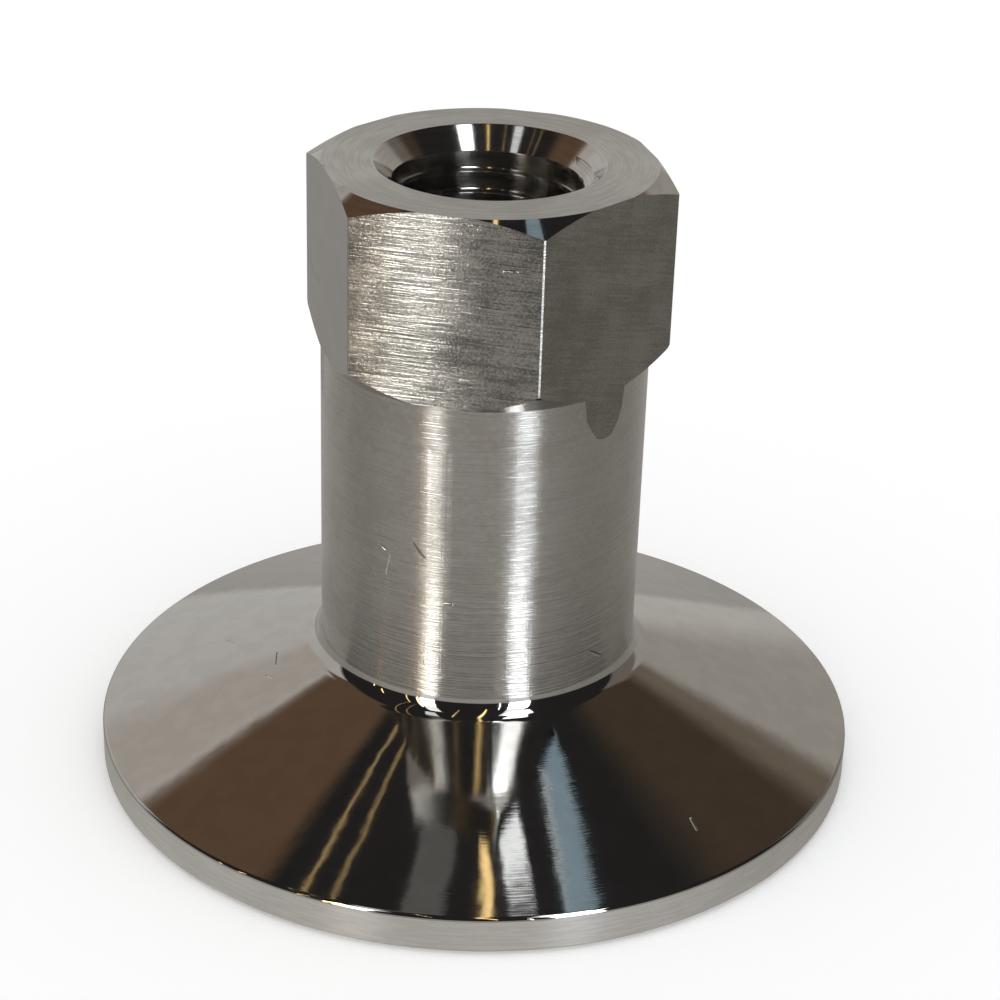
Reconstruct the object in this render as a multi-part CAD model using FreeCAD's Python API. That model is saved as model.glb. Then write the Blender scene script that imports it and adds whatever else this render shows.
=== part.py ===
import FreeCAD, Part
import math
import os

from FreeCAD import Vector

# Sanitary clamp threaded adapter, turned and milled from one stainless bar.
# It stands on its clamp face: the origin is the centre of that face and +Z runs up the bore axis.
# All sizes are in millimetres and all angles in degrees.

# Clamp flange, the 50.5 mm size that takes a standard clamp ring
flange_diameter = 50.5
rim_height = 2.55
clamp_taper = 20.0
rim_edge_break = 0.3

# Gasket groove in the clamp face
groove_inset = 3.45
groove_width = 3.0
groove_depth = 1.2

# Lengths along the axis
overall_height = 41.2
hex_length = 12.4

# Hexagon for a 13/16 inch wrench
across_flats = 20.64
flat_count = 6
shoulder_angle = 45.0
milling_radius = 30.0

# Crown chamfer at the top of the hexagon, turned to a circle just wider than the flats
crown_over_flats = 0.26
crown_angle = 30.0

# Neck between the flange and the hexagon, also just wider than the flats
neck_over_flats = 0.31
neck_fillet = 1.5

# Female port, drilled for a 1/4 inch taper pipe thread
tap_drill_diameter = 11.1
tap_drill_depth = 16.0
drill_point_angle = 118.0
countersink_width = 1.65
countersink_angle = 90.0

# Flow bore from the port down to the clamp face
flow_bore_diameter = 9.5
flow_bore_edge_break = 0.3

# Spare stock outside the finished hexagon, and how far a cutter passes the surface that it opens
turning_stock = 0.5
overshoot = 1.0

# Sizes worked out from the ones above
full_turn = 360.0
flange_radius = flange_diameter / 2
flat_distance = across_flats / 2
corner_radius = flat_distance / math.cos(math.pi / flat_count)
stock_radius = corner_radius + turning_stock
crown_radius = flat_distance + crown_over_flats / 2
neck_radius = flat_distance + neck_over_flats / 2
shoulder_height = overall_height - hex_length
tap_drill_radius = tap_drill_diameter / 2
flow_bore_radius = flow_bore_diameter / 2


def slope_rise(run, angle):
    """Height gained over a radial run by a face at this angle to the flange."""
    return run * math.tan(math.radians(angle))


def point_depth(radius, included_angle):
    """Depth of the cone that a pointed drill or countersink of this included angle cuts."""
    return radius / math.tan(math.radians(included_angle / 2))


def rounded_corner(before, corner, after, rounding):
    """Start, middle and end of the arc that rounds a corner between its two neighbours."""
    towards_before = (before - corner).normalize()
    towards_after = (after - corner).normalize()
    inwards = (towards_before + towards_after).normalize()
    half_angle = towards_before.getAngle(towards_after) / 2
    setback = rounding / math.tan(half_angle)
    middle_depth = rounding / math.sin(half_angle) - rounding
    start = corner + towards_before * setback
    end = corner + towards_after * setback
    return start, corner + inwards * middle_depth, end


def turned(half_outline):
    """Solid of revolution about Z from (radius, height) corners, or (radius, height, rounding) ones."""
    corners = [Vector(corner[0], 0, corner[1]) for corner in half_outline]
    edges = []
    last_point = corners[-1]
    for index, corner in enumerate(corners):
        next_corner = corners[(index + 1) % len(corners)]
        if len(half_outline[index]) == 2:
            edges.append(Part.LineSegment(last_point, corner).toShape())
            last_point = corner
        else:
            rounding = half_outline[index][2]
            start, middle, end = rounded_corner(corners[index - 1], corner, next_corner, rounding)
            edges.append(Part.LineSegment(last_point, start).toShape())
            edges.append(Part.Arc(start, middle, end).toShape())
            last_point = end
    return Part.Face(Part.Wire(edges)).revolve(Vector(0, 0, 0), Vector(0, 0, 1), full_turn)


def make_blank():
    """The turned blank: rim, clamp taper, neck, shoulder cone, head and crown chamfer.

    The rim's lower edge is chamfered and its upper edge is rounded.
    """
    neck_foot = rim_height + slope_rise(flange_radius - neck_radius, clamp_taper)
    shoulder_top = shoulder_height + slope_rise(stock_radius - neck_radius, shoulder_angle)
    crown_bottom = overall_height - slope_rise(stock_radius - crown_radius, crown_angle)
    return turned([
        (0, 0),
        (flange_radius - rim_edge_break, 0),
        (flange_radius, rim_edge_break),
        (flange_radius, rim_height, rim_edge_break),
        (neck_radius, neck_foot, neck_fillet),
        (neck_radius, shoulder_height),
        (stock_radius, shoulder_top),
        (stock_radius, crown_bottom),
        (crown_radius, overall_height),
        (0, overall_height),
    ])


def make_flat_cutter():
    """What the milling cutter clears beside the flat that faces +X.

    The flat is straight down to the shoulder and then runs out onto the neck along the cutter's arc.
    """
    reach = 2 * neck_radius - flat_distance
    runout_angle = math.acos(1 - (reach - flat_distance) / milling_radius)

    def on_arc(angle):
        inwards = milling_radius * math.cos(angle)
        downwards = milling_radius * math.sin(angle)
        return Vector(flat_distance + milling_radius - inwards, 0, shoulder_height - downwards)

    top = overall_height + overshoot
    outside = stock_radius + overshoot
    flat_top = Vector(flat_distance, 0, top)
    flat_bottom = on_arc(0)
    arc_end = on_arc(runout_angle)
    outer_bottom = Vector(outside, 0, arc_end.z)
    outer_top = Vector(outside, 0, top)
    section = Part.Wire([
        Part.LineSegment(flat_top, flat_bottom).toShape(),
        Part.Arc(flat_bottom, on_arc(runout_angle / 2), arc_end).toShape(),
        Part.LineSegment(arc_end, outer_bottom).toShape(),
        Part.LineSegment(outer_bottom, outer_top).toShape(),
        Part.LineSegment(outer_top, flat_top).toShape(),
    ])
    cutter = Part.Face(section).extrude(Vector(0, 2 * outside, 0))
    cutter.translate(Vector(0, -outside, 0))
    return cutter


def mill_hexagon(blank):
    """Cut the flats around the head, with two corners of the hexagon on the X axis."""
    first_cutter = make_flat_cutter()
    flat_pitch = full_turn / flat_count
    for index in range(flat_count):
        cutter = first_cutter.copy()
        cutter.rotate(Vector(0, 0, 0), Vector(0, 0, 1), flat_pitch * (index + 1 / 2))
        blank = blank.cut(cutter)
    return blank


def make_port_cutter():
    """The tap drill with its point, and the countersink that leads the thread in."""
    drill_bottom = overall_height - tap_drill_depth
    countersink_bottom = overall_height - point_depth(countersink_width, countersink_angle)
    return turned([
        (0, drill_bottom - point_depth(tap_drill_radius, drill_point_angle)),
        (tap_drill_radius, drill_bottom),
        (tap_drill_radius, countersink_bottom),
        (tap_drill_radius + countersink_width, overall_height),
        (tap_drill_radius + countersink_width, overall_height + overshoot),
        (0, overall_height + overshoot),
    ])


def make_flow_bore_cutter():
    """The bore up into the port, with its edge broken at the clamp face."""
    edge_radius = flow_bore_radius + flow_bore_edge_break
    return turned([
        (0, -overshoot),
        (edge_radius, -overshoot),
        (edge_radius, 0),
        (flow_bore_radius, flow_bore_edge_break),
        (flow_bore_radius, overall_height),
        (0, overall_height),
    ])


def make_groove_cutter():
    """Ring of round section that leaves the gasket groove in the clamp face."""
    ring_radius = (groove_width ** 2 / 4 + groove_depth ** 2) / (2 * groove_depth)
    centre_height = groove_depth - ring_radius
    return Part.makeTorus(flange_radius - groove_inset, ring_radius, Vector(0, 0, centre_height))


def make_adapter():
    """The finished adapter, machined from its blank."""
    adapter = mill_hexagon(make_blank())
    for cutter in (make_port_cutter(), make_flow_bore_cutter(), make_groove_cutter()):
        adapter = adapter.cut(cutter)
    return adapter


os.makedirs("parts", exist_ok=True)
make_adapter().exportStep("parts/clamp_adapter.step")
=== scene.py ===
import math

import bmesh
import bpy
from mathutils import Matrix, Vector


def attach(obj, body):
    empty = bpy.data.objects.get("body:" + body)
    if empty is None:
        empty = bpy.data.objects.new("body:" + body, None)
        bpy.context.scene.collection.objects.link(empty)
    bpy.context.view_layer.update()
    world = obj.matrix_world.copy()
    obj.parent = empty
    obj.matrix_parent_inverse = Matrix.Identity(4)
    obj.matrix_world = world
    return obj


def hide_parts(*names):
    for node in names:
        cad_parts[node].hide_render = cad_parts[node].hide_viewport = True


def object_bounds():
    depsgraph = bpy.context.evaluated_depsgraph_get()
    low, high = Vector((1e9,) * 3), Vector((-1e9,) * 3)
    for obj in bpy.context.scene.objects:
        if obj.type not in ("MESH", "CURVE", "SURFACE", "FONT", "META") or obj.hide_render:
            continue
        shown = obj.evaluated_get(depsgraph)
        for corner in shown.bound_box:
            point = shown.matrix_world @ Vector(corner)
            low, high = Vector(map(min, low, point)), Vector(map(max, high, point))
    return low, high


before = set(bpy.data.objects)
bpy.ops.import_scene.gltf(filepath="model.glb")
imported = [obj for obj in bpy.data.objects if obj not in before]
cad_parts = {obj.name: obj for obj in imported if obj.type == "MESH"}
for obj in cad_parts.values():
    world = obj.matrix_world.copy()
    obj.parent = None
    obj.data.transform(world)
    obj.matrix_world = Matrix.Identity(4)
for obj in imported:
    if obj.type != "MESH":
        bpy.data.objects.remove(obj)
cad_low, cad_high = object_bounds()

# Meshes are shaped in millimetres and then brought to metres
MM = 0.001

# Clamp flange and its gasket groove
flange_radius = min(-cad_low.x, cad_high.x, -cad_low.y, cad_high.y) / MM
rim_height = 2.55
clamp_taper = math.radians(20)
rim_edge_break = 0.3
groove_inset = 3.45
groove_width = 3.0
groove_depth = 1.2

# Lengths along the axis
overall_height = cad_high.z / MM
hex_length = 12.25
shoulder_height = overall_height - hex_length

# Hexagon, crown chamfer, shoulder and neck
flat_distance = 20.64 / 2
flat_count = 6
first_flat = 30
crown_radius = flat_distance + 0.13
neck_radius = flat_distance + 0.155
crown_angle = math.radians(30)
shoulder_angle = math.radians(45)
shoulder_rounding = 0.5
milling_radius = 30.0
neck_fillet = 1.5
corner_land_depth = 0.035
corner_radius = flat_distance / math.cos(math.pi / flat_count) - corner_land_depth

# Flow bore and the drilled port
flow_bore_radius = 4.75
flow_bore_edge_break = 0.3
drill_radius = 5.55
drill_depth = 16.0
drill_point_half_angle = math.radians(59)
countersink_radius = 7.2
countersink_edge_break = 0.05

# Taper pipe thread, 18 to the inch, with a radius that shrinks 1 in 32 down the bore
thread_pitch = 25.4 / 18
thread_taper = 1 / 32
thread_crest_radius = 5.68
thread_root_radius = 6.8
thread_root_flat = 0.05
thread_flank_angle = math.radians(30)
thread_length = 12.2
thread_lead_turns = 2
thread_crest_cut = 0.15
thread_edge_break = 0.09
thread_fade_depth = 0.9
thread_fade_slope = 2.1

# How far the cutting shapes reach past what they cut
cutter_overrun = 1.0
tap_overrun = 0.5
tap_least_radius = 1.0

# How finely round shapes are divided, and how close points are before they merge
turning_steps = 288
thread_steps = 144
arc_step = math.radians(3)
sharp_edge = math.radians(5.5)
turned_merge = 1e-5
cut_merge = 1e-4

# How closely a face has to lie on a form, or face its way, to be told as a part of it
length_slack = 0.01
cone_slack = 0.02
turn_slack = 0.3
level_limit = 0.01
upright_limit = 0.98
flat_limit = 0.999
downward_limit = -0.05
runout_reach = 4.0


def arc(centre, radius, start, end):
    """Points of an arc in (radius, height), between two angles."""
    steps = math.ceil(abs(end - start) / arc_step)
    angles = [start + (end - start) * index / steps for index in range(steps + 1)]
    return [(centre[0] + radius * math.cos(angle), centre[1] + radius * math.sin(angle)) for angle in angles]


def spun(outline, steps):
    """Closed ring made by spinning a closed (radius, height) outline about Z."""
    shape = bmesh.new()
    corners = [shape.verts.new((radius, 0, height)) for radius, height in outline]
    sides = [shape.edges.new(pair) for pair in zip(corners, corners[1:] + corners[:1])]
    bmesh.ops.spin(shape, geom=corners + sides, cent=(0, 0, 0), axis=(0, 0, 1),
                   angle=math.tau, steps=steps, use_merge=True)
    bmesh.ops.remove_doubles(shape, verts=shape.verts, dist=turned_merge)
    bmesh.ops.recalc_face_normals(shape, faces=shape.faces)
    return shape


def object_from(name, shape):
    """Object that takes over a bmesh."""
    mesh = bpy.data.meshes.new(name)
    shape.to_mesh(mesh)
    shape.free()
    made = bpy.data.objects.new(name, mesh)
    bpy.context.collection.objects.link(made)
    return made


def discard(made):
    """Deletes an object and its mesh."""
    mesh = made.data
    bpy.data.objects.remove(made)
    bpy.data.meshes.remove(mesh)


def cut(shape, tool):
    """What is left of one closed shape when another is cut from it."""
    body = object_from("body", shape)
    cutter = object_from("cutter", tool)
    boolean = body.modifiers.new("cut", "BOOLEAN")
    boolean.operation = "DIFFERENCE"
    boolean.solver = "EXACT"
    boolean.object = cutter
    bpy.context.view_layer.update()
    evaluated = body.evaluated_get(bpy.context.evaluated_depsgraph_get())
    mesh = bpy.data.meshes.new_from_object(evaluated)
    left = bmesh.new()
    left.from_mesh(mesh)
    bpy.data.meshes.remove(mesh)
    discard(body)
    discard(cutter)
    bmesh.ops.remove_doubles(left, verts=left.verts, dist=cut_merge)
    bmesh.ops.dissolve_degenerate(left, edges=left.edges, dist=cut_merge)
    return left


def rim_and_taper():
    """Outline from the clamp face's outer edge round the rim and up the taper to the neck."""
    taper = math.tan(clamp_taper)
    setback = rim_edge_break * math.tan((math.pi / 2 - clamp_taper) / 2)
    edge_centre = (flange_radius - rim_edge_break, rim_height - setback)
    foot_radius = neck_radius + neck_fillet
    taper_height = rim_height + (flange_radius - foot_radius) * taper
    foot_centre = (foot_radius, taper_height + neck_fillet / math.cos(clamp_taper))
    return [
        (flange_radius - rim_edge_break, 0),
        (flange_radius, rim_edge_break),
        *arc(edge_centre, rim_edge_break, 0, math.pi / 2 - clamp_taper),
        *arc(foot_centre, neck_fillet, math.pi * 1.5 - clamp_taper, math.pi),
    ]


def shoulder_and_crown():
    """Outline of the hexagon's blank: shoulder cone, rounded edge, corner land and crown cone."""
    reach = shoulder_rounding * math.tan(shoulder_angle / 2)
    vertex_height = shoulder_height + (corner_radius - neck_radius) * math.tan(shoulder_angle)
    edge_centre = (corner_radius - shoulder_rounding, vertex_height + reach)
    crown_bottom = overall_height - (corner_radius - crown_radius) * math.tan(crown_angle)
    return [
        (neck_radius, shoulder_height),
        *arc(edge_centre, shoulder_rounding, -shoulder_angle, 0),
        (corner_radius, crown_bottom),
        (crown_radius, overall_height),
    ]


def port_and_bore():
    """Outline of the countersink, the wall that the thread is cut in, the drilled hole and the bore."""
    mouth_radius = thread_crest_radius + thread_crest_cut
    mouth_height = overall_height - (countersink_radius - mouth_radius)
    straight_from = mouth_height - (mouth_radius - drill_radius) / thread_taper
    drill_bottom = overall_height - drill_depth
    point_rise = (drill_radius - flow_bore_radius) / math.tan(drill_point_half_angle)
    return [
        (countersink_radius + countersink_edge_break, overall_height),
        (countersink_radius, overall_height - countersink_edge_break / 2),
        (mouth_radius, mouth_height),
        (drill_radius, straight_from),
        (drill_radius, drill_bottom),
        (flow_bore_radius, drill_bottom - point_rise),
        (flow_bore_radius, flow_bore_edge_break),
        (flow_bore_radius + flow_bore_edge_break, 0),
    ]


def gasket_groove():
    """Outline of the round groove in the clamp face, from its inner edge to its outer edge."""
    radius = (groove_width ** 2 / 4 + groove_depth ** 2) / (2 * groove_depth)
    half_angle = math.asin(groove_width / 2 / radius)
    centre = (flange_radius - groove_inset, groove_depth - radius)
    return arc(centre, radius, math.pi / 2 + half_angle, math.pi / 2 - half_angle)


def milling_ring():
    """Hexagonal ring that clears the six flats and runs out onto the neck along the cutter's arc."""
    reach = 2 * neck_radius - flat_distance
    runout = math.acos(1 - (reach - flat_distance) / milling_radius)
    cutter_centre = (flat_distance + milling_radius, shoulder_height)
    outside = 2 * corner_radius
    top = overall_height + cutter_overrun
    path = [(flat_distance, top), *arc(cutter_centre, milling_radius, math.pi, math.pi + runout)]
    path += [(outside, path[-1][1]), (outside, top)]
    stretch = 1 / math.cos(math.pi / flat_count)
    return spun([(apothem * stretch, height) for apothem, height in path], flat_count)


def tooth_half_width(radius):
    """Half width of the tap's tooth between its flanks at a radius."""
    return thread_root_flat / 2 + (thread_root_radius - radius) * math.tan(thread_flank_angle)


def tooth_outline():
    """Outline of the tap's tooth in (radius, height), which widens at the crest to break its edge."""
    crest = thread_crest_radius + thread_crest_cut
    widest = tooth_half_width(crest) + thread_edge_break * 2
    upper = [
        (thread_root_radius, tooth_half_width(thread_root_radius)),
        (crest + thread_edge_break, tooth_half_width(crest + thread_edge_break)),
        (crest - thread_edge_break, widest),
        (thread_crest_radius - tap_overrun, widest),
    ]
    lower = [(radius, -half) for radius, half in reversed(upper)]
    return lower + upper


def thread_tool():
    """Tapered screw of the tap's tooth, which fades out in the countersink and at the bottom."""
    bottom = overall_height - thread_length
    steps = round((thread_length / thread_pitch + 1) * thread_steps)
    tool = bmesh.new()
    corners = [tool.verts.new((radius, 0, bottom + height)) for radius, height in tooth_outline()]
    sides = [tool.edges.new(pair) for pair in zip(corners, corners[1:] + corners[:1])]
    bmesh.ops.spin(tool, geom=corners + sides, cent=(0, 0, 0), axis=(0, 0, 1), steps=steps,
                   angle=math.tau * steps / thread_steps, dvec=(0, 0, thread_pitch / thread_steps))
    bmesh.ops.edgeloop_fill(tool, edges=[edge for edge in tool.edges if edge.is_boundary])
    lead_length = thread_lead_turns * thread_pitch
    lead_slope = (thread_root_radius - thread_crest_radius) / lead_length
    for vert in tool.verts:
        radius = vert.co.xy.length
        narrowing = (overall_height - vert.co.z) * thread_taper
        lead = max(0, bottom + lead_length - vert.co.z) * lead_slope
        fade = max(0, vert.co.z - overall_height + thread_fade_depth) * thread_fade_slope
        vert.co.xy *= max(tap_least_radius, radius - narrowing - lead - fade) / radius
    bmesh.ops.recalc_face_normals(tool, faces=tool.faces)
    return tool


# Finishes of the flats, in turn from the first one. Besides brushing and polish they differ in painted
# shade: each gets its own darkened steel colour for how much light it catches.
FLAT_FINISHES = ("flat_plain", "flat_bright", "flat_diagonal", "flat_plain", "flat_bright", "flat_diagonal")


def flat_number(face):
    """Number of the flat that a face was milled with, or None for a turned face."""
    inside_port = face.calc_center_median().xy.length < (countersink_radius + flat_distance) / 2
    if inside_port or face.normal.xy.length < upright_limit:
        return None
    turn = math.degrees(math.atan2(face.normal.y, face.normal.x)) - first_flat
    number = round(turn * flat_count / 360)
    return number % flat_count if abs(turn - number * 360 / flat_count) < turn_slack else None


def port_finish(middle):
    """Name of the finish inside the port and the bore, from the middle of a face."""
    if abs(middle.xy.length + overall_height - middle.z - countersink_radius) < cone_slack:
        return "countersink"
    return "thread" if middle.z > overall_height - drill_depth else "bore"


def finish_of(face):
    """Name of the finish on a face, from where it is and which way it faces."""
    middle = face.calc_center_median()
    radius = middle.xy.length
    upward = face.normal.z
    upright = abs(upward) < level_limit
    if radius < countersink_radius + length_slack:
        return port_finish(middle)
    if upward > flat_limit:
        return "faced"
    if middle.z > shoulder_height - runout_reach and flat_number(face) is not None:
        finish = FLAT_FINISHES[flat_number(face)]
        return finish if middle.z > shoulder_height or finish == "flat_diagonal" else "neck"
    if middle.z > shoulder_height - length_slack:
        return "neck" if upright else "edges"
    if middle.z < rim_height and upward < downward_limit:
        return "clamp_face"
    if radius > flange_radius - length_slack and upright:
        return "rim"
    return "neck" if radius < neck_radius + length_slack else "taper"


class Signal:
    """A shader socket. Python arithmetic on it adds Math nodes."""

    def __init__(self, graph, socket):
        self.graph = graph
        self.socket = socket

    def math(self, operation, *others):
        inputs = dict(enumerate((self, *others)))
        return self.graph.node("ShaderNodeMath", {"operation": operation}, inputs)

    def __add__(self, other):
        return self.math("ADD", other)

    def __sub__(self, other):
        return self.math("SUBTRACT", other)

    def __rsub__(self, other):
        return self.math("MULTIPLY_ADD", -1.0, other)

    def __mul__(self, other):
        return self.math("MULTIPLY", other)

    def __truediv__(self, other):
        return self.math("DIVIDE", other)

    __radd__ = __add__
    __rmul__ = __mul__

    def rise(self, low, high):
        """0 below low, 1 above high, and a smooth step between them."""
        return self.graph.node("ShaderNodeMapRange", {"interpolation_type": "SMOOTHSTEP"},
                               {"Value": self, "From Min": low, "From Max": high})


class Graph:
    """The node tree of a material or world, filled through one method."""

    def __init__(self, owner):
        owner.use_nodes = True
        self.tree = owner.node_tree
        self.tree.nodes.clear()

    def node(self, kind, settings=None, inputs=None, output=0):
        """Adds a node. Its settings are set first, then the values or links of its sockets."""
        made = self.tree.nodes.new(kind)
        for name, value in (settings or {}).items():
            setattr(made, name, value)
        for key, value in (inputs or {}).items():
            if isinstance(value, Signal):
                self.tree.links.new(value.socket, made.inputs[key])
            else:
                made.inputs[key].default_value = value
        return Signal(self, made.outputs[output]) if made.outputs else None

    def combined(self, x, y, z):
        return self.node("ShaderNodeCombineXYZ", None, {0: x, 1: y, 2: z})

    def separated(self, vector):
        parts = self.node("ShaderNodeSeparateXYZ", None, {0: vector})
        return [Signal(self, socket) for socket in parts.socket.node.outputs]

    def scaled(self, vector, factor):
        return self.node("ShaderNodeVectorMath", {"operation": "SCALE"}, {0: vector, "Scale": factor})

    def vector_math(self, operation, first, second, output="Vector"):
        return self.node("ShaderNodeVectorMath", {"operation": operation}, {0: first, 1: second}, output)

    def noise(self, vector, scale, detail, roughness, distortion):
        inputs = {"Vector": vector, "Scale": scale, "Detail": detail,
                  "Roughness": roughness, "Distortion": distortion}
        return self.node("ShaderNodeTexNoise", None, inputs)

    def blend(self, factor, first, second):
        """Mix of two colours. The node has these sockets by number only."""
        return self.node("ShaderNodeMix", {"data_type": "RGBA"}, {0: factor, 6: first, 7: second}, output=2)

    def light_path(self, name):
        path = self.node("ShaderNodeLightPath")
        return Signal(self, path.socket.node.outputs[name])


# How fast the finer parts of the noise fade in marks and in grain
mark_harshness = 0.6
grain_harshness = 0.5

# Turns the stretched highlights from along the turning marks to across them
quarter_turn = 0.25


class Surface(Graph):
    """A steel material, with the part's own coordinates in millimetres at hand."""

    def __init__(self, name):
        self.material = bpy.data.materials.new(name)
        super().__init__(self.material)
        place = self.node("ShaderNodeTexCoord", output="Object")
        self.place = self.scaled(place, 1 / MM)
        self.x, self.y, self.z = self.separated(self.place)
        self.radius = (self.x * self.x + self.y * self.y).math("SQRT")

    def marks(self, across, length, spacing, detail=3.0):
        """Cutting or brushing marks of a length, that lie a spacing apart in the across direction."""
        drawn = self.combined(self.x / length, self.y / length, across / spacing)
        return self.noise(drawn, 1.0, detail, mark_harshness, 0.0)

    def grain(self, size, detail=3.0, distortion=0.0):
        """Marks without a direction."""
        return self.noise(self.place, 1 / size, detail, grain_harshness, distortion)

    def scratch(self, start, end):
        """1 on a fine scratch between two points, and 0 beside it."""
        offset = self.vector_math("SUBTRACT", self.place, start)
        along = Vector(end) - Vector(start)
        reach = self.vector_math("DOT_PRODUCT", offset, along, "Value")
        share = (reach / along.length_squared).math("MAXIMUM", 0.0).math("MINIMUM", 1.0)
        nearest = self.scaled(along, share)
        gap = self.vector_math("DISTANCE", offset, nearest, "Value")
        return 1 - gap.rise(0, scratch_width)

    def finished(self, colour, roughness, anisotropy, relief, scratches=()):
        """Closes the material. relief is in millimetres, and highlights stretch across the turning marks."""
        for start, end in scratches:
            relief = relief - scratch_depth * self.scratch(start, end)
        normal = self.node("ShaderNodeBump", None, {"Distance": MM, "Height": relief, "Strength": 1.0})
        steel = self.node("ShaderNodeBsdfPrincipled", None, {
            "Base Color": colour, "Metallic": 1.0, "Roughness": roughness, "Anisotropic": anisotropy,
            "Anisotropic Rotation": quarter_turn, "Normal": normal})
        self.node("ShaderNodeOutputMaterial", None, {"Surface": steel})
        return self.material


# Fine scratches seen on the part, each from point to point in millimetres
scratch_width = 0.1
scratch_depth = 0.04
NECK_SCRATCHES = [
    ((-4.06, -9.66, 18.78), (-3.61, -9.83, 18.51)),
    ((-3.24, -9.96, 18.14), (-3.52, -9.87, 16.83)),
    ((-1.66, -10.34, 19.5), (-0.91, -10.44, 18.61)),
    ((0.44, -10.47, 15.65), (0.95, -10.43, 15.64)),
    ((8.92, -5.49, 10.85), (9.42, -4.58, 10.13)),
]
TAPER_SCRATCHES = [
    ((-12.51, -5.01, 6.84), (-12.11, -6.4, 6.76)),
    ((-12.45, -7.47, 6.46), (-11.93, -7.76, 6.56)),
    ((-17.0, -2.29, 5.5), (-16.4, -2.74, 5.69)),
    ((17.15, -12.39, 4.04), (17.67, -13.05, 3.75)),
]
FLAT_SCRATCHES = [
    ((-9.48, -4.21, 35.87), (-9.46, -4.24, 35.8)),
    ((-11.62, -0.51, 34.06), (-11.02, -1.56, 33.3)),
    ((-11.02, -1.56, 33.3), (-10.11, -3.13, 33.2)),
    ((3.59, -10.32, 38.2), (4.37, -10.32, 38.29)),
    ((2.08, -10.32, 40.79), (1.95, -10.32, 40.6)),
]
TOP_SCRATCHES = [
    ((-9.57, -4.27, 41.2), (-9.3, -4.3, 41.2)),
    ((-7.23, -7.66, 41.2), (-7.0, -7.5, 41.2)),
]

# The steel's colours, from the turned surfaces to the darkest and the palest ones
STEEL = (0.62, 0.605, 0.58, 1)
STEEL_EVEN = (0.585, 0.57, 0.545, 1)
STEEL_WORN = (0.54, 0.52, 0.49, 1)
# Painted shade: the next four darker colours are the flats' only, set darker for how much light each flat
# catches
STEEL_DARK_SHADE = (0.43, 0.42, 0.39, 1)
STEEL_SHADE = (0.38, 0.375, 0.37, 1)
STEEL_OLIVE_SHADE = (0.3, 0.29, 0.26, 1)
STEEL_DIM_SHADE = (0.22, 0.215, 0.2, 1)
STEEL_PALE = (0.74, 0.725, 0.7, 1)
# Painted light: the two palest colours are the rim's only, raised above the steel's so that the rim shows as
# brightly lit
STEEL_LIT_WHITE = (0.84, 0.83, 0.81, 1)
STEEL_LIT_BRIGHT = (0.92, 0.91, 0.89, 1)

# Slow changes of colour, and the ranges of noise that a tone and a haze are drawn from
slow_tone_size = 3
slow_tone_share = 0.35
TONE_RANGE = (0.4, 0.6)
HAZE_RANGE = (0.35, 0.8)


def toned(surface, marks, low, high):
    """Steel colour that changes slowly over the part and from mark to mark."""
    tone = slow_tone_share * surface.grain(slow_tone_size) + (1 - slow_tone_share) * marks
    return surface.blend(tone.rise(*TONE_RANGE), low, high)


def taper_finish():
    """Finely turned and polished taper and fillet."""
    base_roughness, haze_roughness, line_roughness = 0.025, 0.02, 0.03
    line_depth, wave_depth = 0.0015, 0.02
    surface = Surface("polished_taper")
    lines = surface.marks(surface.radius, length=4, spacing=0.12)
    haze = surface.grain(size=4).rise(*HAZE_RANGE)
    waves = surface.grain(size=6)
    roughness = base_roughness + haze_roughness * haze + line_roughness * lines
    relief = line_depth * lines + wave_depth * waves
    tone = toned(surface, surface.grain(size=1.5), STEEL_EVEN, STEEL)
    return surface.finished(tone, roughness, anisotropy=0.7, relief=relief, scratches=TAPER_SCRATCHES)


def neck_finish():
    """Turned neck, rubbed with a fine cloth until the cutter's run-outs look as round as the rest."""
    base_roughness, haze_roughness, swirl_roughness = 0.145, 0.03, 0.04
    line_depth, coarse_depth, swirl_depth = 0.022, 0.014, 0.0008
    line_share = 0.5
    surface = Surface("turned_neck")
    lines = surface.marks(surface.z, length=5, spacing=0.1, detail=2.0)
    coarse = surface.marks(surface.z, length=8, spacing=0.4, detail=2.0)
    swirls = surface.grain(size=0.8, detail=2.0, distortion=2.5)
    haze = surface.grain(size=3).rise(*HAZE_RANGE)
    roughness = base_roughness + haze_roughness * haze + swirl_roughness * swirls
    relief = line_depth * lines + coarse_depth * coarse + swirl_depth * swirls - surface.radius
    marks = line_share * lines + (1 - line_share) * swirls
    tone = toned(surface, marks, STEEL_WORN, STEEL)
    return surface.finished(tone, roughness, anisotropy=1.0, relief=relief, scratches=NECK_SCRATCHES)


# The bright flats are polished a little round, and the polish is off their middle
crown_offset = 0.8


def flat_finish(name, direction, slope, depth, crowning, base_roughness, colours):
    """Milled and brushed flat. direction is that of its normal, slope tilts the brush lines."""
    haze_roughness, coarse_roughness = 0.04, 0.06
    line_share, coarse_share, spot_share, spot_depth = 0.35, 0.25, 0.4, 0.15
    surface = Surface(name)
    turn = math.radians(direction)
    sideways = surface.y * math.cos(turn) - surface.x * math.sin(turn)
    across = surface.z - sideways * slope
    lines = surface.marks(across, length=3, spacing=0.12, detail=2.0)
    coarse = surface.marks(across, length=4, spacing=0.3, detail=2.0)
    spots = surface.grain(size=0.15, detail=1.0)
    roughness = base_roughness + haze_roughness * surface.grain(size=2.5) + coarse_roughness * coarse
    swept = sideways - crown_offset
    relief = depth * (lines + coarse + spots * spot_depth) - crowning * (swept * swept)
    marks = line_share * lines + coarse_share * coarse + spot_share * spots
    tone = toned(surface, marks, *colours)
    return surface.finished(tone, roughness, anisotropy=1.0, relief=relief, scratches=FLAT_SCRATCHES)


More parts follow.
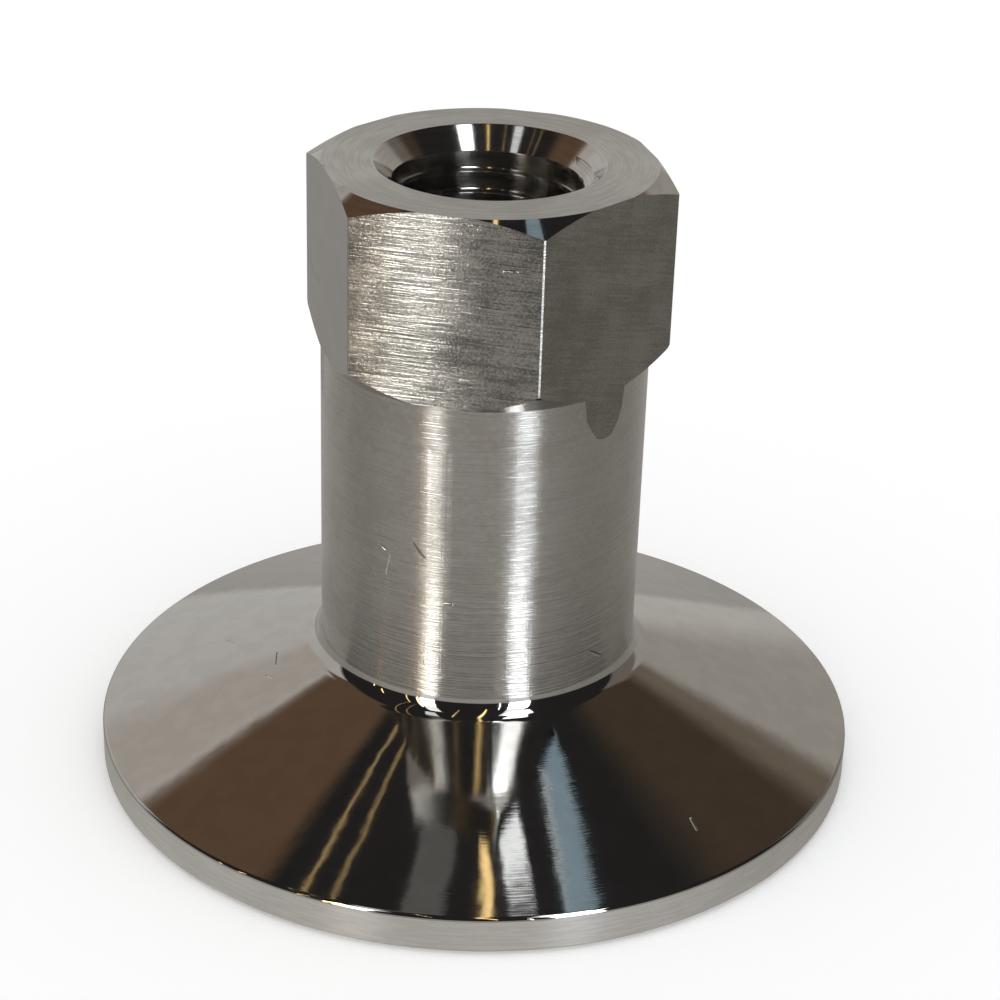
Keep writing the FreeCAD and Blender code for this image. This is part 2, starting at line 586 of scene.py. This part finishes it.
def faced_finish():
    """Top face, faced on the lathe."""
    base_roughness, spot_roughness = 0.34, 0.1
    line_depth, spot_depth = 0.008, 0.006
    surface = Surface("faced_top")
    lines = surface.marks(surface.radius, length=2.5, spacing=0.2)
    spots = surface.grain(size=0.2)
    roughness = base_roughness + spot_roughness * spots
    relief = line_depth * lines + spot_depth * spots
    tone = toned(surface, lines, STEEL, STEEL_PALE)
    return surface.finished(tone, roughness, anisotropy=0.3, relief=relief, scratches=TOP_SCRATCHES)


def turned_finish(name, roughness, anisotropy, depth, colours=(STEEL_WORN, STEEL)):
    """Turned or bored surface with plain marks of a depth."""
    spot_roughness, spot_depth = 0.08, 0.5
    surface = Surface(name)
    lines = surface.marks(surface.z + surface.radius, length=2.5, spacing=0.2)
    spots = surface.grain(size=0.25)
    tone = toned(surface, lines, *colours)
    return surface.finished(tone, roughness + spot_roughness * spots, anisotropy,
                            depth * (lines + spots * spot_depth))


def all_finishes():
    """Materials by the names that finish_of gives. Depths and crownings are in millimetres."""
    return {
        "taper": taper_finish(),
        "neck": neck_finish(),
        # Painted shade: the three flats get darker steel colours than the turned faces, set flat by flat for
        # how much light each catches
        "flat_plain": flat_finish(
            "flat_plain", direction=30, slope=0, depth=0.006, crowning=0,
            base_roughness=0.15, colours=(STEEL_SHADE, STEEL_DARK_SHADE)),
        "flat_bright": flat_finish(
            "flat_bright", direction=90, slope=0, depth=0.039, crowning=0.0115,
            base_roughness=0.135, colours=(STEEL_DIM_SHADE, STEEL_WORN)),
        "flat_diagonal": flat_finish(
            "flat_diagonal", direction=150, slope=0.3, depth=0.02, crowning=0,
            base_roughness=0.15, colours=(STEEL_OLIVE_SHADE, STEEL_DARK_SHADE)),
        "faced": faced_finish(),
        "edges": turned_finish("polished_edges", roughness=0.01, anisotropy=0.5, depth=0),
        "countersink": turned_finish("countersink", roughness=0.06, anisotropy=0.6, depth=0.002),
        "thread": turned_finish("tapped_thread", roughness=0.1, anisotropy=1.0, depth=0.0005),
        "bore": turned_finish("bored_hole", roughness=0.25, anisotropy=0.5, depth=0.004),
        # Painted light: the rim gets the palest steel colours, far above the rest, so that it shows as
        # brightly lit
        "rim": turned_finish("turned_rim", roughness=0.2, anisotropy=0.3, depth=0.006,
                             colours=(STEEL_LIT_WHITE, STEEL_LIT_BRIGHT)),
        "clamp_face": turned_finish("polished_clamp_face", roughness=0.14, anisotropy=0.6, depth=0.002),
    }


def make_adapter():
    """The whole adapter: turned blank, milled hexagon and tapped port."""
    outline = rim_and_taper() + shoulder_and_crown() + port_and_bore() + gasket_groove()
    shape = cut(spun(outline, turning_steps), milling_ring())
    shape = cut(shape, thread_tool())
    finishes = all_finishes()
    names = list(finishes)
    for face in shape.faces:
        face.smooth = True
        face.material_index = names.index(finish_of(face))
    bmesh.ops.transform(shape, matrix=Matrix.Scale(MM, 4), verts=shape.verts)
    adapter = object_from("adapter_body", shape)
    adapter.data.set_sharp_from_angle(angle=sharp_edge)
    for name in names:
        adapter.data.materials.append(finishes[name])
    return adapter


adapter = make_adapter()
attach(adapter, "root")
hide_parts("clamp_adapter")

# Camera, solved from the outlines in the photograph
camera_place = Vector((34.81, -140.65, 90.86)) * MM
camera_turn = math.radians(13.4)
camera_tilt = math.radians(26.75)
camera_roll = math.radians(1.83)
camera_lens = 88.74
camera_sensor = 36
camera_near = 10 * MM

# Heading of the line of sight at the part. Lamp azimuths are measured clockwise from it.
sight_heading = 103.9


def make_camera():
    """Camera at the photograph's viewpoint."""
    data = bpy.data.cameras.new("camera")
    data.sensor_width = camera_sensor
    data.lens = camera_lens
    data.clip_start = camera_near
    camera = bpy.data.objects.new("camera", data)
    bpy.context.collection.objects.link(camera)
    camera.matrix_world = (Matrix.Translation(camera_place) @ Matrix.Rotation(camera_turn, 4, "Z")
                           @ Matrix.Rotation(math.pi / 2 - camera_tilt, 4, "X")
                           @ Matrix.Rotation(camera_roll, 4, "Z"))
    bpy.context.scene.camera = camera


# The set round the part, in metres
lamp_height = 1.5
panel_distance = 1.5
tent_radius = 5.0
tent_divisions = 4
floor_radius = 12.0
disc_steps = 96

# The card lies just above the floor, and its gloss is faint
card_lift = 0.05 * MM
card_sheen = 0.05
sheen_roughness = 0.1

# The floor's own white, and the glow that brings it up to the white of the backdrop
FLOOR_WHITE = (0.97, 0.97, 0.97, 1)
PURE_WHITE = (1, 1, 1, 1)
floor_glow = 0.05


def add_lamp(name, width, length, radiance, colour):
    """Rectangular lamp that only the steel sees, as bright as radiance whatever its size."""
    data = bpy.data.lights.new(name, "AREA")
    data.shape = "RECTANGLE"
    data.size = width
    data.size_y = length
    data.energy = radiance * math.pi * width * length
    data.color = colour
    lamp = bpy.data.objects.new(name, data)
    bpy.context.collection.objects.link(lamp)
    lamp.visible_camera = False
    lamp.visible_diffuse = False
    return lamp


def ceiling_strip(name, near, far, width, radiance, colour):
    """Strip lamp on the ceiling between two places, each as metres to the right of and beyond the part."""
    sight = math.radians(sight_heading)
    beyond = Vector((math.cos(sight), math.sin(sight)))
    right = Vector((math.sin(sight), -math.cos(sight)))
    start = right * near[0] + beyond * near[1]
    end = right * far[0] + beyond * far[1]
    lamp = add_lamp(name, width, (end - start).length, radiance, colour)
    lamp.location = ((start + end) / 2).to_3d() + Vector((0, 0, lamp_height))
    lamp.rotation_euler.z = math.atan2(end.y - start.y, end.x - start.x) - math.pi / 2


def wall_panel(name, azimuth, width, low, high, radiance, colour):
    """Panel that stands at an azimuth. Its width and the elevations low and high are in degrees."""
    heading = math.radians(sight_heading - azimuth)
    across = 2 * panel_distance * math.tan(math.radians(width) / 2)
    bottom = panel_distance * math.tan(math.radians(low))
    top = panel_distance * math.tan(math.radians(high))
    lamp = add_lamp(name, across, top - bottom, radiance, colour)
    way = Vector((math.cos(heading), math.sin(heading), 0))
    lamp.location = way * panel_distance + Vector((0, 0, (bottom + top) / 2))
    lamp.rotation_euler = (-way).to_track_quat("-Z", "Y").to_euler()


# Colours of the lamps
WHITE = (1, 0.99, 0.95)
COOL = (0.93, 0.97, 1)
GOLD = (1, 0.7, 0.3)
DAYLIGHT = (0.87, 0.94, 1)
BLUE = (0.61, 0.84, 1)


def light_studio():
    """Windows, lamps and their reflections as the photograph's steel shows them.

    A wall panel has an azimuth, a width, a low and a high end, a radiance and a colour.
    A ceiling strip has a near and a far end, a width, a radiance and a colour.
    """
    wall_panel("left_window", -147.5, 10, 1, 30, 13, WHITE)
    wall_panel("left_window_top", -147.5, 10, 31, 52, 1.5, WHITE)
    ceiling_strip("left_white_middle", (-0.42, -0.25), (-0.62, -0.7), 0.15, 1.0, COOL)
    ceiling_strip("left_white_front", (-0.08, 0.42), (-0.42, -0.25), 0.12, 0.1, WHITE)
    wall_panel("right_window", 150, 14, 1, 30, 13, DAYLIGHT)
    wall_panel("right_window_top", 150, 14, 31, 60, 1.5, DAYLIGHT)
    ceiling_strip("right_white_near", (0.62, -0.72), (0.95, -1.4), 0.45, 5, COOL)
    ceiling_strip("right_white_middle", (0.40, -0.25), (0.62, -0.72), 0.26, 4, COOL)
    ceiling_strip("right_white_front", (0.11, 0.46), (0.155, 0.335), 0.08, 1.4, COOL)
    wall_panel("left_gold_inner", -140.7, 0.9, 1, 40, 13, GOLD)
    ceiling_strip("left_gold_inner_front", (-0.33, 0.53), (-1.75, -2.0), 0.006, 0.8, GOLD)
    wall_panel("left_gold_outer", -133, 0.8, 1, 30, 2, GOLD)
    wall_panel("left_gold_low", -108, 0.8, 0.5, 7, 4, GOLD)
    wall_panel("left_gold_middle", -114, 0.8, 8, 22, 4, GOLD)
    ceiling_strip("left_gold_outer_front", (-0.40, 0.59), (-2.1, -2.0), 0.009, 0.8, GOLD)
    ceiling_strip("middle_gold", (0.05, 0.42), (0.05, -0.6), 0.03, 1.5, GOLD)
    ceiling_strip("middle_gold_rear", (0.05, -0.6), (0.4, -2.8), 0.04, 3, GOLD)
    ceiling_strip("thin_gold", (-0.25, -0.44), (-0.4, -2.0), 0.015, 1.5, GOLD)
    wall_panel("thin_rear", 163, 0.5, 1, 30, 8, WHITE)
    ceiling_strip("far_blue", (0.29, 0.25), (0.39, 0.60), 0.08, 0.4, BLUE)
    ceiling_strip("far_blue_edge", (0.28, 0.36), (0.33, 0.56), 0.02, 0.6, COOL)


# Keeps the division by the level part of a direction safe straight up and down
least_level = 1e-6


class Surroundings(Graph):
    """Glow of a studio piece that the steel mirrors, painted by direction from the part."""

    def __init__(self, name, colour):
        self.material = bpy.data.materials.new(name)
        self.material.cycles.emission_sampling = "NONE"
        super().__init__(self.material)
        place = self.node("ShaderNodeTexCoord", output="Object")
        way = self.node("ShaderNodeVectorMath", {"operation": "NORMALIZE"}, {0: place})
        x, y, z = self.separated(way)
        level = (x * x + y * y).math("SQRT") + least_level
        self.east = x / level
        self.north = y / level
        self.elevation = z.math("ARCSINE") * math.degrees(1)
        self.glow = self.even_glow(colour)

    def even_glow(self, colour):
        """Glow of one colour, as bright as the colour says."""
        return self.node("ShaderNodeEmission", None, {"Color": (*colour, 1), "Strength": 1.0})

    def paint(self, azimuth, half_width, side_blur, low, high, edge_blur, colour):
        """Paints a patch that spans an azimuth either way and lies between two elevations."""
        heading = math.radians(sight_heading - azimuth)
        across = self.east * math.cos(heading) + self.north * math.sin(heading)
        away = across.math("ARCCOSINE") * math.degrees(1)
        inside = 1 - away.rise(half_width - side_blur, half_width + side_blur)
        above = self.elevation.rise(low - edge_blur, low + edge_blur)
        below = 1 - self.elevation.rise(high - edge_blur, high + edge_blur)
        patch = {0: inside * above * below, 1: self.glow, 2: self.even_glow(colour)}
        self.glow = self.node("ShaderNodeMixShader", None, patch)

    def finished(self, sheen):
        """Closes the material. A sheen above 0 mirrors the lamps softly."""
        mirrored = {"Color": (sheen, sheen, sheen, 1), "Roughness": sheen_roughness}
        gloss = self.node("ShaderNodeBsdfAnisotropic", None, mirrored)
        both = self.node("ShaderNodeAddShader", None, {0: self.glow, 1: gloss})
        self.node("ShaderNodeOutputMaterial", None, {"Surface": both})
        return self.material


def show_to_steel(piece, material):
    """Makes a studio piece that stands out of the picture and that only the steel mirrors."""
    piece.data.materials.append(material)
    piece.visible_camera = False
    piece.visible_diffuse = False
    piece.visible_transmission = False
    piece.visible_shadow = False


# Fields of glow painted on the tent and on the card, painted reflections that the steel mirrors: azimuth,
# half width and blur of the sides, low end, high end and blur of both, all in degrees, and colour of the
# glow. A half width of 190 goes all round.
# The tent's own faint glow, with the paler and browner glowing fields below: painted reflections of a room
# round the set
TENT_GLOW = (0.022, 0.021, 0.021)
TENT_FIELDS = [
    (-12, 64, 3, -90, 33, 3, (0.55, 0.53, 0.50)),
    (-46, 34, 5, 33, 61, 1.5, (0.13, 0.08, 0.05)),
    (-28, 20, 4, -90, 39.5, 1, (0.57, 0.56, 0.54)),
    (-38, 14, 6, 24, 39.5, 3, (0.5, 0.46, 0.42)),
    (48, 22, 3, 30, 56, 5, (0.07, 0.05, 0.035)),
    (34, 14, 3, -90, 30, 3, (0.4, 0.375, 0.345)),
    (34, 14, 3, 30, 36, 3, (0.19, 0.155, 0.12)),
    (60, 15, 3, -90, 36, 3, (0.19, 0.17, 0.15)),
    (0, 190, 3, -90, -2, 1, (0.7, 0.7, 0.7)),
]
# The card's grey glow is painted light, standing in for a lit table, and its two fields to either side are
# painted darker glow
CARD_GLOW = (0.38, 0.365, 0.345)
CARD_FIELDS = [
    (88, 45, 30, -90, 90, 1, (0.27, 0.26, 0.24)),
    (-85, 30, 25, -90, 90, 1, (0.30, 0.29, 0.27)),
]


def make_tent():
    """Tent round the set with a faint dark glow, and painted pale glow on its far side and below the floor,
    which the steel mirrors as a room.
    """
    shape = bmesh.new()
    bmesh.ops.create_icosphere(shape, subdivisions=tent_divisions, radius=tent_radius)
    cloth = Surroundings("tent_glow", TENT_GLOW)
    for field in TENT_FIELDS:
        cloth.paint(*field)
    show_to_steel(object_from("tent", shape), cloth.finished(0))


def make_table_card():
    """Card on the floor that glows grey, a painted reflection of a lit table, with a little gloss, so that
    the windows gleam in it.
    """
    shape = bmesh.new()
    bmesh.ops.create_circle(shape, cap_ends=True, segments=disc_steps, radius=tent_radius)
    bmesh.ops.translate(shape, vec=(0, 0, card_lift), verts=shape.verts)
    card = Surroundings("card_glow", CARD_GLOW)
    for field in CARD_FIELDS:
        card.paint(*field)
    show_to_steel(object_from("table_card", shape), card.finished(card_sheen))


def make_backdrop():
    """White all round, which lights the set evenly."""
    world = bpy.data.worlds.new("white_backdrop")
    bpy.context.scene.world = world
    graph = Graph(world)
    background = graph.node("ShaderNodeBackground", None, {"Color": PURE_WHITE, "Strength": 1.0})
    graph.node("ShaderNodeOutputWorld", None, {"Surface": background})


def make_floor():
    """Large white floor, which keeps the part's shadow and can be looked through from below."""
    shape = bmesh.new()
    bmesh.ops.create_circle(shape, cap_ends=True, segments=disc_steps, radius=floor_radius)
    floor = object_from("floor", shape)
    material = bpy.data.materials.new("white_floor")
    graph = Graph(material)
    matte = graph.node("ShaderNodeBsdfDiffuse", None, {"Color": FLOOR_WHITE})
    seen = sum(graph.light_path(ray) for ray in ("Is Camera Ray", "Is Glossy Ray", "Is Transmission Ray"))
    glow = graph.node("ShaderNodeEmission", None, {"Color": PURE_WHITE, "Strength": floor_glow})
    shown = graph.node("ShaderNodeMixShader", None, {0: seen, 2: glow})
    above = graph.node("ShaderNodeAddShader", None, {0: matte, 1: shown})
    below = graph.node("ShaderNodeBsdfTransparent")
    from_below = graph.node("ShaderNodeNewGeometry", output="Backfacing")
    either = graph.node("ShaderNodeMixShader", None, {0: from_below, 1: above, 2: below})
    graph.node("ShaderNodeOutputMaterial", None, {"Surface": either})
    floor.data.materials.append(material)


make_camera()
light_studio()
make_tent()
make_table_card()
make_backdrop()
make_floor()
bpy.context.scene.view_settings.view_transform = "Standard"
